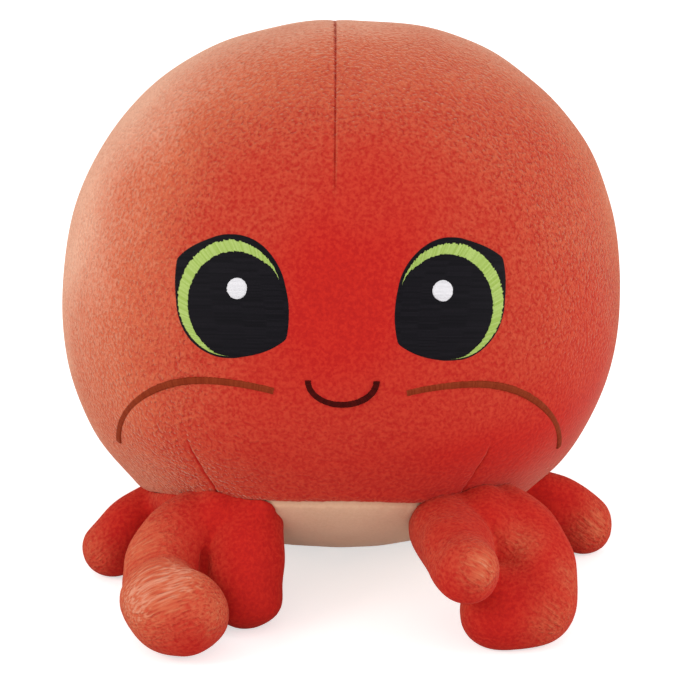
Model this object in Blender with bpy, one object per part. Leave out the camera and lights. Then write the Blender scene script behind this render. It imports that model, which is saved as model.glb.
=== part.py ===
"""A stuffed toy crab, as closed solids.

The toy is one round ball of coral-red short-pile cloth with a cream panel let into its underside.
Two claws, each with two fingers, and one short leg on each side are sewn into the seam round that
panel. The face is embroidered: eyes, a smile and a line over each cheek.

Units are metres, with X across the toy (its own left is +X), Y to its back and Z up. The ball and the
face are modelled in the ball's own frame, whose origin is the middle of the ball at its widest level.
An empty leans that frame back, as the toy sits. The limbs are modelled standing on the floor, z = 0,
from the point of the belly seam that each is sewn to.
"""

import math

import bmesh
import bpy
import numpy as np
from mathutils import Matrix, Vector

# The ball
BALL_HALF_WIDTH = 0.1044
BALL_HALF_DEPTH = 0.1000
BALL_RISE = 0.1033
BALL_DROP = 0.0940
BALL_FULLNESS = 2.2
SIDE_SLUMP = 0.022
LEAN = math.radians(20.0)
ROLL = math.radians(0.8)
SQUASH = 0.0045
FIT_GAP = 0.0003

# The cream panel, from the underside up to its seam, and the seams' valleys. What is placed on the
# face is given as shares of the ball: across, of its half width, and up, of its reach on that side.
BELLY_PANEL_RISE = 0.020
BELLY_THICKNESS = 0.0025
SEAM_DEPTH = 0.0012
CROWN_SEAM_BACK = 0.006
FOREHEAD_DART_TOP_X = -0.0066
FOREHEAD_DART_END_X = -0.0036
FOREHEAD_DART_END_RISE = 0.0315
CHEEK_DART_TOP = -0.479
CHEEK_DART_ACROSS = (0.519, 0.497, 0.451, 0.402)

# The stuffing pushes each cheek out below its line
PUFF_HEIGHT = 0.0020
PUFF_CENTRE = (0.479, -0.532)
PUFF_REACH = (0.026, 0.016)

# The embroidery
THREAD_LIFT = 0.0005
PATCH_THICKNESS = 0.0008
TOP_STITCH_THICKNESS = 0.0006
LINE_THICKNESS = 0.0010
EYE_CENTRE = (0.364, -0.0075)
EYE_HALF_SIZE = (0.0199, 0.0214)
EYE_CORNERS = ((37.0, 0.11, 15.0), (216.0, 0.17, 13.0))
IRIS_MARGIN = (0.0009, 0.0010)
IRIS_WIDTH = (0.0040, 0.0043)
IRIS_SWEEP = (-86.0, 158.0)
GLINT_OFFSET = (-0.0022, 0.0027)
GLINT_RADIUS = 0.0037
SMILE_CENTRE = (0.0067, -0.3117)
SMILE_HALF_SIZE = (0.0119, 0.0084)
SMILE_WIDTH = 0.0021
CHEEK_LINE_PEAK = (0.460, -0.316)
CHEEK_LINE_INNER = (0.225, -0.346)
CHEEK_LINE_OUTER = (0.762, -0.569)
CHEEK_LINE_WIDTH = 0.0024

# The limbs. Each station of a finger is how far out, forward and above the floor its middle lies,
# with out and forward counted from the limb's root on the belly seam, and then its half thickness.
LIMB_ROOTS = {"left_claw": 40.0, "right_claw": -33.0, "left_leg": 87.0, "right_leg": -83.0}
LEFT_CLAW_ARM = ((0.0113, -0.0101, 0.0350, 0.0095), (0.0160, -0.0002, 0.0311, 0.0126),
                 (0.0213, 0.0098, 0.0269, 0.0136), (0.0251, 0.0203, 0.0216, 0.0146),
                 (0.0251, 0.0289, 0.0154, 0.0149))
LEFT_CLAW_PALM = ((0.0011, -0.0092, 0.0354, 0.0094), (0.0047, 0.0004, 0.0345, 0.0112))
LEFT_CLAW_TIP = ((0.0251, 0.0298, 0.0139, 0.0154), (0.0147, 0.0330, 0.0139, 0.0154))
LEFT_CLAW_FINGER = ((-0.0062, -0.0083, 0.0358, 0.0094), (-0.0062, 0.0056, 0.0325, 0.0122),
                    (-0.0034, 0.0275, 0.0338, 0.0118), (0.0010, 0.0511, 0.0363, 0.0107))
RIGHT_CLAW_ARM = ((0.0064, -0.0122, 0.0351, 0.0094), (0.0115, -0.0023, 0.0312, 0.0126),
                  (0.0189, 0.0091, 0.0262, 0.0139), (0.0219, 0.0228, 0.0208, 0.0145),
                  (0.0211, 0.0318, 0.0165, 0.0148))
RIGHT_CLAW_PALM = ((-0.0002, -0.0115, 0.0362, 0.0094), (0.0028, -0.0029, 0.0345, 0.0115))
RIGHT_CLAW_TIP = ((0.0212, 0.0320, 0.0140, 0.0153), (0.0142, 0.0340, 0.0146, 0.0153))
RIGHT_CLAW_FINGER = ((-0.0064, -0.0115, 0.0362, 0.0098), (-0.0066, -0.0019, 0.0302, 0.0130),
                     (-0.0064, 0.0083, 0.0226, 0.0138), (-0.0061, 0.0135, 0.0121, 0.0136))
LEFT_CLAW = (LEFT_CLAW_ARM, LEFT_CLAW_PALM, LEFT_CLAW_TIP, LEFT_CLAW_FINGER)
RIGHT_CLAW = (RIGHT_CLAW_ARM, RIGHT_CLAW_PALM, RIGHT_CLAW_TIP, RIGHT_CLAW_FINGER)
LEFT_LEG = ((-0.0028, -0.0005, 0.0257, 0.0105), (0.0100, 0.0001, 0.0211, 0.0113),
            (0.0177, -0.0010, 0.0167, 0.0113), (0.0244, -0.0020, 0.0103, 0.0113))
RIGHT_LEG = ((-0.0096, 0.0010, 0.0231, 0.0105), (-0.0015, 0.0046, 0.0190, 0.0112),
             (0.0068, 0.0100, 0.0158, 0.0112), (0.0132, 0.0150, 0.0099, 0.0112))

# How finely the solids are cut into faces
BALL_SIDES = 56
BALL_STEP = math.radians(7.0)
LIMB_SIDES = 16
LIMB_STEPS = 2
SEAM_SIDES = 6

# sRGB colours of the cloth and the thread
CORAL_PILE = "#cb3f2b"
CREAM_CLOTH = "#e0bfa6"
BLACK_THREAD = "#1c1a1f"
GREEN_THREAD = "#a2c95c"
WHITE_THREAD = "#e9e7ea"
BROWN_THREAD = "#8a3319"
DARK_THREAD = "#3a0f0c"


def linear(hex_colour):
    """An sRGB hex colour as the linear values that a material holds."""
    values = [int(hex_colour[i:i + 2], 16) / 255 for i in (1, 3, 5)]
    return [v / 12.92 if v <= 0.04045 else ((v + 0.055) / 1.055) ** 2.4 for v in values] + [1.0]


def cloth(name, hex_colour, roughness, sheen=0.0):
    """Cloth or thread: rough, not metal, with the pale sheen that pile has at its edges."""
    material = bpy.data.materials.new(name)
    material.use_nodes = True
    shader = material.node_tree.nodes["Principled BSDF"]
    shader.inputs["Base Color"].default_value = linear(hex_colour)
    shader.inputs["Roughness"].default_value = roughness
    shader.inputs["Metallic"].default_value = 0.0
    shader.inputs["Sheen Weight"].default_value = sheen
    return material


def loft(rings, first=None, last=None):
    """A closed mesh through rings of points. Each end runs to a point, or is filled if it has none."""
    shape = bmesh.new()
    loops = [[shape.verts.new(point) for point in ring] for ring in rings]
    for near, far in zip(loops, loops[1:]):
        for i, corner in enumerate(near):
            j = (i + 1) % len(near)
            shape.faces.new((corner, near[j], far[j], far[i]))
    for loop, tip in ((loops[0], first), (loops[-1], last)):
        if tip is None:
            shape.faces.new(loop)
            continue
        apex = shape.verts.new(tip)
        for i, corner in enumerate(loop):
            shape.faces.new((apex, corner, loop[(i + 1) % len(loop)]))
    bmesh.ops.recalc_face_normals(shape, faces=shape.faces)
    mesh = bpy.data.meshes.new("shape")
    shape.to_mesh(mesh)
    shape.free()
    return mesh


def place(name, mesh, material=None, parent=None, location=(0.0, 0.0, 0.0)):
    """Put a mesh in the scene as a named object; with no material it is a cutter or a guide."""
    part = bpy.data.objects.new(name, mesh)
    bpy.context.scene.collection.objects.link(part)
    part.parent = parent
    part.location = location
    if material is None:
        part.hide_render = True
        part.display_type = "WIRE"
    else:
        mesh.materials.append(material)
        mesh.shade_smooth()
        mesh.set_sharp_from_angle(angle=math.radians(40.0))
    return part


def boolean(part, other, operation="DIFFERENCE"):
    """Cut another object out of a part, or join it on."""
    modifier = part.modifiers.new(other.name, "BOOLEAN")
    modifier.object = other
    modifier.operation = operation


def unit(vectors):
    """The vectors at length 1."""
    return vectors / np.linalg.norm(vectors, axis=-1, keepdims=True)


def ball_height(z):
    """How far the ball reaches on the side of its widest level that z is on."""
    return np.where(z > 0, BALL_RISE, BALL_DROP)


def ball_measure(points):
    """1 on the ball and more outside it: the level share and the height share, each raised to the
    ball's fullness, added, and brought back by the same root."""
    x, y, z = np.moveaxis(points, -1, 0)
    level = np.hypot(x / BALL_HALF_WIDTH, y / BALL_HALF_DEPTH)
    height = np.abs(z / ball_height(z))
    return (level ** BALL_FULLNESS + height ** BALL_FULLNESS) ** (1 / BALL_FULLNESS)


def ball_normal(points):
    """The ball's outward direction at points on its surface: the gradient of its measure."""
    x, y, z = np.moveaxis(points, -1, 0)
    reach = ball_height(z)
    level = np.maximum(np.hypot(x / BALL_HALF_WIDTH, y / BALL_HALF_DEPTH), 1e-9)
    share = level ** (BALL_FULLNESS - 2)
    steep = np.sign(z) * np.abs(z / reach) ** (BALL_FULLNESS - 1) / reach
    return unit(np.stack([share * x / BALL_HALF_WIDTH ** 2, share * y / BALL_HALF_DEPTH ** 2, steep], axis=-1))


def face_place(shares):
    """Where shares of the ball's half width and of its reach up or down lie, in metres."""
    across, up = np.asarray(shares, dtype=float)
    return across * BALL_HALF_WIDTH, up * ball_height(up)


def cheek_puff(points):
    """How far the stuffing pushes the skin out: a soft bump below each cheek line."""
    x, y, z = np.moveaxis(points, -1, 0)
    centre_x, centre_z = face_place(PUFF_CENTRE)
    across = (np.abs(x) - centre_x) / PUFF_REACH[0]
    up = (z - centre_z) / PUFF_REACH[1]
    return np.where(y < 0, PUFF_HEIGHT * np.exp(-across ** 2 - up ** 2), 0.0)


def on_ball(directions, lift=0.0):
    """The points where rays from the ball's middle meet its skin, raised along its normal by lift,
    and then slid sideways in proportion to their height, because the stuffing has slumped a little."""
    directions = np.asarray(directions, dtype=float)
    points = directions / ball_measure(directions)[..., None]
    raised = cheek_puff(points) + lift
    points = points + ball_normal(points) * raised[..., None]
    points[..., 0] += SIDE_SLUMP * points[..., 2]
    return points


def on_face(x, z, lift=0.0):
    """The points of the skin in front of the places x, z of the face."""
    x, z = np.broadcast_arrays(np.asarray(x, dtype=float), np.asarray(z, dtype=float))
    x = x - SIDE_SLUMP * z
    spread = (1 - np.abs(z / ball_height(z)) ** BALL_FULLNESS) ** (1 / BALL_FULLNESS)
    y = -BALL_HALF_DEPTH * np.sqrt(spread ** 2 - (x / BALL_HALF_WIDTH) ** 2)
    return on_ball(np.stack([x, y, z], axis=-1), lift)


def level_ring(latitude, lift=0.0):
    """One ring of the ball: a superellipse's point at that latitude, carried round the Z axis."""
    around = np.linspace(0, 2 * math.pi, BALL_SIDES, endpoint=False)
    spread = abs(math.cos(latitude)) ** (2 / BALL_FULLNESS)
    rise = math.copysign(abs(math.sin(latitude)) ** (2 / BALL_FULLNESS), latitude)
    z = np.full(BALL_SIDES, rise * (BALL_RISE if rise > 0 else BALL_DROP))
    x = BALL_HALF_WIDTH * spread * np.sin(around)
    y = -BALL_HALF_DEPTH * spread * np.cos(around)
    return on_ball(np.stack([x, y, z], axis=-1), lift)


def level_steps(start, stop):
    """Latitudes from start to stop, both included, about one ball step apart."""
    return np.linspace(start, stop, max(2, round(abs(stop - start) / BALL_STEP) + 1))


def sitting_height():
    """The ball's middle above the floor: its reach straight down when it leans, less the squash."""
    power = BALL_FULLNESS / (BALL_FULLNESS - 1)
    back = (BALL_HALF_DEPTH * math.sin(LEAN)) ** power
    down = (BALL_DROP * math.cos(LEAN)) ** power
    return (back + down) ** (1 / power) - SQUASH


def lean_matrix():
    """From the ball's frame to the floor's."""
    tilt = Matrix.Rotation(-LEAN, 4, "X") @ Matrix.Rotation(ROLL, 4, "Y")
    return Matrix.Translation((0, 0, sitting_height())) @ tilt


def pressed(points, floor=0.0):
    """Points of the ball's frame, with those below that height over the floor pushed up to it."""
    *up, middle = lean_matrix()[2]
    heights = middle + points @ np.array(up)
    return points + np.maximum(floor - heights, 0)[..., None] * np.array(up)


SEAM_SHARE = 1 - BELLY_PANEL_RISE / BALL_DROP
SEAM_LATITUDE = -math.asin(SEAM_SHARE ** (BALL_FULLNESS / 2))
SEAM_LIP = math.radians(1.6)
PANEL_EDGE = 1.33 * FIT_GAP / BALL_DROP
NEAR_POLE = math.radians(84.0)


def ball_frame():
    """The empty that leans the ball back and stands it on the floor."""
    lean = bpy.data.objects.new("ball_frame", None)
    bpy.context.scene.collection.objects.link(lean)
    lean.matrix_world = lean_matrix()
    return lean


def make_body(lean, material):
    """The stuffed ball, stepped in below the belly seam by the cream panel's thickness."""
    depth = -(BELLY_THICKNESS + FIT_GAP)
    rings = [level_ring(latitude) for latitude in level_steps(NEAR_POLE, SEAM_LATITUDE + 2 * SEAM_LIP)]
    rings.append(level_ring(SEAM_LATITUDE + SEAM_LIP / 2, -SEAM_DEPTH / 3))
    rings.append(level_ring(SEAM_LATITUDE, -SEAM_DEPTH))
    core = [level_ring(latitude, depth) for latitude in level_steps(SEAM_LATITUDE, -NEAR_POLE)]
    tip = on_ball([0.0, 0.0, -1.0], depth)
    floor = BELLY_THICKNESS + FIT_GAP
    rings += [pressed(ring, floor) for ring in core]
    return place("body", loft(rings, on_ball([0.0, 0.0, 1.0]), pressed(tip, floor)), material, lean)


def make_belly_panel(lean, material):
    """The cream panel: one thickness of lined cloth over the underside, flat where the toy rests."""
    edge = SEAM_LATITUDE - PANEL_EDGE
    outer = [level_ring(latitude) for latitude in level_steps(-NEAR_POLE, edge - 2 * SEAM_LIP)]
    outer.append(level_ring(edge - SEAM_LIP / 2, -SEAM_DEPTH / 3))
    outer.append(level_ring(edge, -SEAM_DEPTH))
    inner = [level_ring(latitude, -BELLY_THICKNESS) for latitude in level_steps(edge, -NEAR_POLE)]
    rings = [pressed(ring) for ring in outer] + [pressed(ring, BELLY_THICKNESS) for ring in inner]
    pole = np.array([0.0, 0.0, -1.0])
    first = pressed(on_ball(pole))
    last = pressed(on_ball(pole, -BELLY_THICKNESS), BELLY_THICKNESS)
    return place("belly_panel", loft(rings, first, last), material, lean)


def frames_along(path):
    """The direction of a path at each point, and two directions square to it that don't twist."""
    along = unit(np.gradient(path, axis=0))
    side = unit(np.cross(along[0], [0.31, 0.22, 0.92]))
    sides = [side]
    for direction in along[1:]:
        side = unit(side - direction * (side @ direction))
        sides.append(side)
    sides = np.array(sides)
    return along, sides, np.cross(along, sides)


def swept(path, half_widths, sides):
    """A round tube along a path with a half width at each point, closed by a dome at each end."""
    along, right, up = frames_along(path)
    turn = np.linspace(0, 2 * math.pi, sides, endpoint=False)[:, None]

    def ring(i, radius, shift):
        middle = path[i] + along[i] * shift
        return middle + radius * (np.cos(turn) * right[i] + np.sin(turn) * up[i])

    rings = [ring(i, radius, 0.0) for i, radius in enumerate(half_widths)]
    start, end = half_widths[0], half_widths[-1]
    for angle in np.radians([30.0, 58.0]):
        rings.insert(0, ring(0, start * math.cos(angle), -start * math.sin(angle)))
        rings.append(ring(-1, end * math.cos(angle), end * math.sin(angle)))
    return loft(rings, path[0] - along[0] * start, path[-1] + along[-1] * end)


def smooth(stations, steps):
    """A curve through the stations with so many steps from each to the next: each stretch is a cubic
    whose slope at a station is half the step from the one before to the one after."""
    knots = np.asarray(stations, dtype=float)
    slopes = np.gradient(knots, axis=0)
    place_on_curve = np.linspace(0, len(knots) - 1, steps * (len(knots) - 1) + 1)
    i = np.minimum(place_on_curve.astype(int), len(knots) - 2)
    t = (place_on_curve - i)[:, None]
    return ((1 + 2 * t) * (1 - t) ** 2 * knots[i] + t * (1 - t) ** 2 * slopes[i]
            + t ** 2 * (3 - 2 * t) * knots[i + 1] + t ** 2 * (t - 1) * slopes[i + 1])


def groove(name, path, body, lean):
    """Cut a seam's valley into the body: half of a thin tube that runs along the skin."""
    half_widths = np.full(len(path), SEAM_DEPTH)
    cutter = place("cutter_" + name, swept(path, half_widths, SEAM_SIDES), parent=lean)
    boolean(body, cutter)


def cut_seams(body, lean):
    """The crown seam from side to side, the seam down the back, the dart on the forehead that runs to
    the crown seam, and a dart under each cheek that runs to the belly seam."""
    swing = np.linspace(-1.0, 1.0, 41) * (math.pi / 2 - SEAM_LATITUDE)
    back = np.full_like(swing, CROWN_SEAM_BACK / BALL_RISE)
    groove("crown_seam", on_ball(np.stack([np.sin(swing), back, np.cos(swing)], axis=-1)), body, lean)
    drop = np.linspace(CROWN_SEAM_BACK / BALL_RISE, math.pi / 2 - SEAM_LATITUDE, 21)
    middle = np.zeros_like(drop)
    groove("back_seam", on_ball(np.stack([middle, np.sin(drop), np.cos(drop)], axis=-1)), body, lean)
    end = math.acos(FOREHEAD_DART_END_RISE / BALL_RISE)
    drop = np.linspace(-CROWN_SEAM_BACK / BALL_RISE, end, 11)
    shift = np.linspace(FOREHEAD_DART_TOP_X, FOREHEAD_DART_END_X, 11) / BALL_RISE
    groove("forehead_dart", on_ball(np.stack([shift, -np.sin(drop), np.cos(drop)], axis=-1)), body, lean)
    levels = np.linspace(CHEEK_DART_TOP, -SEAM_SHARE, len(CHEEK_DART_ACROSS))
    x, z = face_place(smooth(np.stack([CHEEK_DART_ACROSS, levels], axis=-1), 2).T)
    groove("left_cheek_dart", on_face(x, z), body, lean)
    groove("right_cheek_dart", on_face(-x, z), body, lean)


def wheel(degrees):
    """The points of a circle of radius 1 at those angles."""
    angles = np.radians(degrees)
    return np.stack([np.cos(angles), np.sin(angles)], axis=-1)


def face_disc(outline, centre, lift, thickness):
    """A thin pad of thread on the skin: its outline, one ring half way in, and the middle."""
    half_way = centre + (outline - centre) / 2
    rings = [on_face(*ring.T, height) for ring, height in
             ((half_way, lift), (outline, lift), (outline, lift + thickness), (half_way, lift + thickness))]
    return loft(rings, on_face(*centre, lift), on_face(*centre, lift + thickness))


def make_eye(side, name, lean, materials):
    """One eye: a black patch, a green crescent on its upper and outer side, and a white glint.
    The patch is an ellipse that swells to a soft corner above outside and a sharper one below inside.
    The crescent lies between two ellipses that touch at its thin lower and inner side."""
    centre = np.array(face_place(EYE_CENTRE))
    mirror = np.array([side, 1.0])
    turn = np.linspace(0, 360, 32, endpoint=False)
    swell = np.ones_like(turn)
    for angle, height, reach in EYE_CORNERS:
        away = (turn - angle + 180) % 360 - 180
        swell += height * np.exp(-(away / reach) ** 2)
    outline = centre + EYE_HALF_SIZE * wheel(turn) * swell[:, None]
    patch = face_disc(outline * mirror, centre * mirror, THREAD_LIFT, PATCH_THICKNESS)
    place(name + "_eye_patch", patch, materials["black"], lean)

    top = THREAD_LIFT + PATCH_THICKNESS + FIT_GAP
    sweep = wheel(np.linspace(*IRIS_SWEEP, 25))
    half_size = np.subtract(EYE_HALF_SIZE, IRIS_MARGIN)
    half_width = np.divide(IRIS_WIDTH, 2)
    rim = centre + half_size * sweep
    hole = centre - half_width + (half_size - half_width) * sweep
    taper = np.clip(np.sin(np.linspace(0, math.pi, 25)) * 2.2, 0.12, 1)[:, None]
    inner = rim + (hole - rim) * taper
    corners = [on_face(*(edge * mirror).T, top + rise * TOP_STITCH_THICKNESS)
               for edge, rise in ((rim, 0), (rim, 1), (inner, 1), (inner, 0))]
    place(name + "_eye_iris", loft(np.stack(corners, axis=1)), materials["green"], lean)

    middle = (centre + GLINT_OFFSET) * mirror
    outline = middle + GLINT_RADIUS * wheel(np.linspace(0, 360, 16, endpoint=False))
    glint = face_disc(outline, middle, top, TOP_STITCH_THICKNESS)
    place(name + "_eye_glint", glint, materials["white"], lean)


def stitched_line(name, x, z, width, material, lean):
    """A raised line of stitches along the face: a low arch of thread swept along it."""
    path = on_face(x, z)
    out = ball_normal(path)
    along = unit(np.gradient(path, axis=0))
    across = np.cross(along, out)
    section = ((-0.5, 0.0), (-0.5, 0.45), (-0.2, 1.0), (0.2, 1.0), (0.5, 0.45), (0.5, 0.0))
    rails = [path + across * (width * share) + out * (THREAD_LIFT + LINE_THICKNESS * rise)
             for share, rise in section]
    place(name, loft(np.stack(rails, axis=1)), material, lean)


def make_smile(lean, material):
    """The smile: the lower half of an ellipse."""
    curve = face_place(SMILE_CENTRE) + SMILE_HALF_SIZE * wheel(np.linspace(180, 360, 17))
    stitched_line("smile", *curve.T, SMILE_WIDTH, material, lean)


def make_cheek_lines(lean, material):
    """Each cheek line: a slow fall on the inside of its peak, and a quarter ellipse on the outside."""
    peak, inner_end, outer_end = (np.array(face_place(shares)) for shares in
                                  (CHEEK_LINE_PEAK, CHEEK_LINE_INNER, CHEEK_LINE_OUTER))
    share = np.linspace(1, 0, 8, endpoint=False)
    inner = peak + (inner_end - peak) * np.stack([share, share ** 2], axis=-1)
    corner = np.array([peak[0], outer_end[1]])
    reach = np.array([outer_end[0], peak[1]]) - corner
    outer = corner + reach * wheel(np.linspace(90, 0, 17))
    x, z = np.concatenate([inner, outer]).T
    stitched_line("left_cheek_line", x, z, CHEEK_LINE_WIDTH, material, lean)
    stitched_line("right_cheek_line", -x, z, CHEEK_LINE_WIDTH, material, lean)


def seam_root(name):
    """The point over the floor where a limb is sewn into the belly seam."""
    around = math.radians(LIMB_ROOTS[name])
    spread = math.cos(SEAM_LATITUDE) ** (2 / BALL_FULLNESS)
    x, y = BALL_HALF_WIDTH * spread * math.sin(around), -BALL_HALF_DEPTH * spread * math.cos(around)
    return lean_matrix() @ Vector(on_ball([x, y, BELLY_PANEL_RISE - BALL_DROP]))


def finger(stations, root, side):
    """A stuffed finger through its stations, in the frame of the limb's root."""
    out, forward, height, half_width = smooth(stations, LIMB_STEPS).T
    path = np.stack([side * out, -forward, height - root.z], axis=-1)
    return swept(path, half_width, LIMB_SIDES)


def make_limb(name, stretches, cutters, material):
    """A limb of one or more stretches, joined, and trimmed where it meets the ball and the floor."""
    root = seam_root(name)
    side = 1.0 if name.startswith("left") else -1.0
    limb = place(name, finger(stretches[0], root, side), material, location=root)
    for stations in stretches[1:]:
        other = place(name + "_stretch", finger(stations, root, side), location=root)
        boolean(limb, other, "UNION")
    for cutter in cutters:
        boolean(limb, cutter)


def limb_cutters(lean):
    """The ball with its fitting gap, and the floor, as cutters for the limbs."""
    rings = [level_ring(latitude, FIT_GAP) for latitude in level_steps(NEAR_POLE, -NEAR_POLE)]
    poles = [on_ball([0.0, 0.0, way], FIT_GAP) for way in (1.0, -1.0)]
    ball = place("cutter_ball", loft(rings, *poles), parent=lean)
    slab = bmesh.new()
    depth = BALL_DROP / 2
    size = Matrix.Diagonal((6 * BALL_HALF_WIDTH, 6 * BALL_HALF_DEPTH, depth, 1.0))
    bmesh.ops.create_cube(slab, size=1.0, matrix=Matrix.Translation((0, 0, -depth / 2)) @ size)
    mesh = bpy.data.meshes.new("floor")
    slab.to_mesh(mesh)
    slab.free()
    return ball, place("cutter_floor", mesh)


def main():
    for old in list(bpy.data.objects):
        bpy.data.objects.remove(old, do_unlink=True)
    pile = cloth("coral_pile", CORAL_PILE, 0.9, 0.5)
    cream = cloth("cream_cloth", CREAM_CLOTH, 0.9, 0.3)
    brown = cloth("brown_thread", BROWN_THREAD, 0.6)
    dark = cloth("dark_thread", DARK_THREAD, 0.6)
    eye_threads = {
        "black": cloth("black_thread", BLACK_THREAD, 0.6),
        "green": cloth("green_thread", GREEN_THREAD, 0.45),
        "white": cloth("white_thread", WHITE_THREAD, 0.5),
    }
    lean = ball_frame()
    body = make_body(lean, pile)
    cut_seams(body, lean)
    make_belly_panel(lean, cream)
    make_eye(1.0, "left", lean, eye_threads)
    make_eye(-1.0, "right", lean, eye_threads)
    make_smile(lean, dark)
    make_cheek_lines(lean, brown)
    cutters = limb_cutters(lean)
    make_limb("left_claw", LEFT_CLAW, cutters, pile)
    make_limb("right_claw", RIGHT_CLAW, cutters, pile)
    make_limb("left_leg", (LEFT_LEG,), cutters, pile)
    make_limb("right_leg", (RIGHT_LEG,), cutters, pile)


if __name__ == "__main__":
    main()
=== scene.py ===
"""The looks of a stuffed toy crab: short-pile cloth over stuffing, a cream belly and an embroidered face.

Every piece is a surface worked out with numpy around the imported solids. Units are metres, with X to the
crab's left, Y to its back and Z up. The ball and the face are worked out in the ball's own frame, which
leans back, and are then carried into the frame of the floor.
"""

import math

import bpy
import numpy as np
from mathutils import Matrix, Vector


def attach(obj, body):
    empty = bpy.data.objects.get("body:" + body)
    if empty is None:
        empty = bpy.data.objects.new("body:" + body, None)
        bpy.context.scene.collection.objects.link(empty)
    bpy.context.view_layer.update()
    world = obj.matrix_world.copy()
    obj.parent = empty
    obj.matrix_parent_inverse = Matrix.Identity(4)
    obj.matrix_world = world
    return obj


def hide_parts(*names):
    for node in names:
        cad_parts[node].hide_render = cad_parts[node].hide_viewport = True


bl_info = {
    "name": "Stuffed Crab",
    "version": (1, 0, 0),
    "blender": (4, 5, 0),
    "location": "3D View > Sidebar > Stuffed Crab",
    "description": "Builds a stuffed toy crab of short-pile cloth with an embroidered face",
    "category": "Add Mesh",
}

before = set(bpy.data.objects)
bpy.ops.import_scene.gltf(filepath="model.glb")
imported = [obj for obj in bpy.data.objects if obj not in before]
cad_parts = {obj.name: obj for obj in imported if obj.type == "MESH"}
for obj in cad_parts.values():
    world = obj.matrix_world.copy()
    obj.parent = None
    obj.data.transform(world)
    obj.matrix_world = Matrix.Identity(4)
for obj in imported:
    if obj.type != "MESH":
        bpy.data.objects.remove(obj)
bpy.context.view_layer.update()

# The ball: a superellipse carried round its upright axis, wider above than below
BALL_HALF_WIDTH = 0.1044
BALL_HALF_DEPTH = 0.1000
BALL_RISE = 0.1033
BALL_DROP = 0.0940
BALL_FULLNESS = 2.2
SIDE_SLUMP = 0.022
LEAN = math.radians(20.0)
ROLL = math.radians(0.8)
SQUASH = 0.0045
PUFF_HEIGHT = 0.0020
PUFF_CENTRE = (0.479, -0.532)
PUFF_REACH = (0.026, 0.016)

# The way that the face looks, up and to the front; the painted light and painted sheen of the pile grow
# as the cloth turns away from it
TOY_FRONT = (0.0, -0.935, 0.354)

# The belly seam and the other seams of the ball
BELLY_PANEL_RISE = 0.020
BELLY_THICKNESS = 0.0025
FIT_GAP = 0.0003
BELLY_EDGE_GAP = 1.33 * FIT_GAP
CROWN_SEAM_BACK = 0.006
FOREHEAD_DART_X = (-0.0066, -0.0036)
FOREHEAD_DART_END_RISE = 0.0315
CHEEK_DART_TOP = -0.479
CHEEK_DART_ACROSS = (0.519, 0.497, 0.451, 0.402)
SEAM_SHARE = 1 - BELLY_PANEL_RISE / BALL_DROP
SEAM_LATITUDE = -math.asin(SEAM_SHARE ** (BALL_FULLNESS / 2))

# A seam of the ball: how wide its line is, how long a stitch is, how wide the valley around it is, how
# wide, long and high its puckers are, and over what length a dart fades out
SEAM_LINE_WIDTH = 0.00042
SEAM_STITCH = 0.0030
SEAM_VALLEY_WIDTH = 0.0030
SEAM_PUCKERS = (0.006, 0.0052, 0.00012)
DART_FADE = 0.016

# The belly seam: how wide the cloth rolls in to it on either side, the swell above it and the pucker
# below it as place, width and height, and over how many degrees its unevenness fades out
BALL_ROLL = 0.0011
BELLY_ROLL = 0.0012
LIP_SWELL = (0.004, 0.003, 0.0003)
BELLY_PUCKER = (0.003, 0.004, 0.00018)
WOBBLE_FADE = math.radians(6)
# How long the lumps are that the stuffing leaves, from shortest to longest
BALL_LUMPS = (0.022, 0.050)
BELLY_LUMPS = (0.014, 0.035)
LIMB_LUMPS = (0.012, 0.030)
BELLY_LUMP_HEIGHT = 0.0002

# The ball's rings, as spans of latitude in degrees and their count, those of its lip counted from the
# belly seam, and the bearings that its columns crowd to: degrees from the front, half width and how much
# denser they are
BALL_RINGS = ((89.7, 87.8, 8), (87.5, 20.0, 52), (18.7, -40.0, 46))
LIP_RINGS = ((5.0, 1.6, 8), (1.3, 0.0, 8))
BALL_COLUMNS = 520
COLUMN_PEAKS = ((-5.0, 5.5, 4.0), (96.0, 5.0, 3.2), (-96.0, 5.0, 3.2), (36.0, 2.6, 3.6), (-36.0, 2.6, 3.6),
                (180.0, 1.2, 4.0), (-180.0, 1.2, 4.0))

# The embroidery, in shares of the ball where a pair is a place on the face
# Each eye: its middle, its half size, its two corners, how far inside the outline its green crescent
# runs, where round it the crescent ends, and where its white dot is. A corner is an angle in degrees from
# outside, how far it sticks out and how many degrees it reaches. The two are not quite alike.
EYES = {
    "left": ((0.366, -0.0064), (0.0191, 0.0216), ((36.0, 0.175, 38.0), (216.5, 0.225, 46.0)),
             (0.0010, 0.0015), 165.0, (-0.0033, 0.0029)),
    "right": ((0.371, -0.0064), (0.0200, 0.0216), ((31.0, 0.165, 38.0), (213.0, 0.245, 46.0)),
              (0.0018, 0.0015), 162.0, (-0.0028, 0.0027)),
}
IRIS_DROP = 0.0006
IRIS_WIDTH = (0.0040, 0.0043)
IRIS_START = -90.0
GLINT_RADIUS = 0.0037
SMILE_CENTRE = (0.0067, -0.3117)
SMILE_HALF_SIZE = (0.0119, 0.0084)
CHEEK_LINE_PEAK = (0.460, -0.320)
CHEEK_LINE_INNER = (0.221, -0.354)
CHEEK_LINE_OUTER = (0.762, -0.569)
# A satin band: how high its edges lie over the skin, how much higher its crest is, and how uneven its
# stitches' ends are
CRESCENT_SATIN = (0.0005, 0.0005, 0.00022)
DOT_SATIN = (0.0006, 0.0007, 0.00008)
LINE_SATIN = (-0.0001, 0.0008, 0.00006)
SATIN_RIDGE = 0.22
SATIN_DEPTH = 0.0004
STITCH_LINE_STEP = 0.0005
# The same for the black ground of an eye, with how high a row's ridge is and how deep its back lies
GROUND_BASE = -0.0002
GROUND_CREST = 0.0010
GROUND_RIDGE = 0.00007
GROUND_BACK = -0.0006
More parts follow.
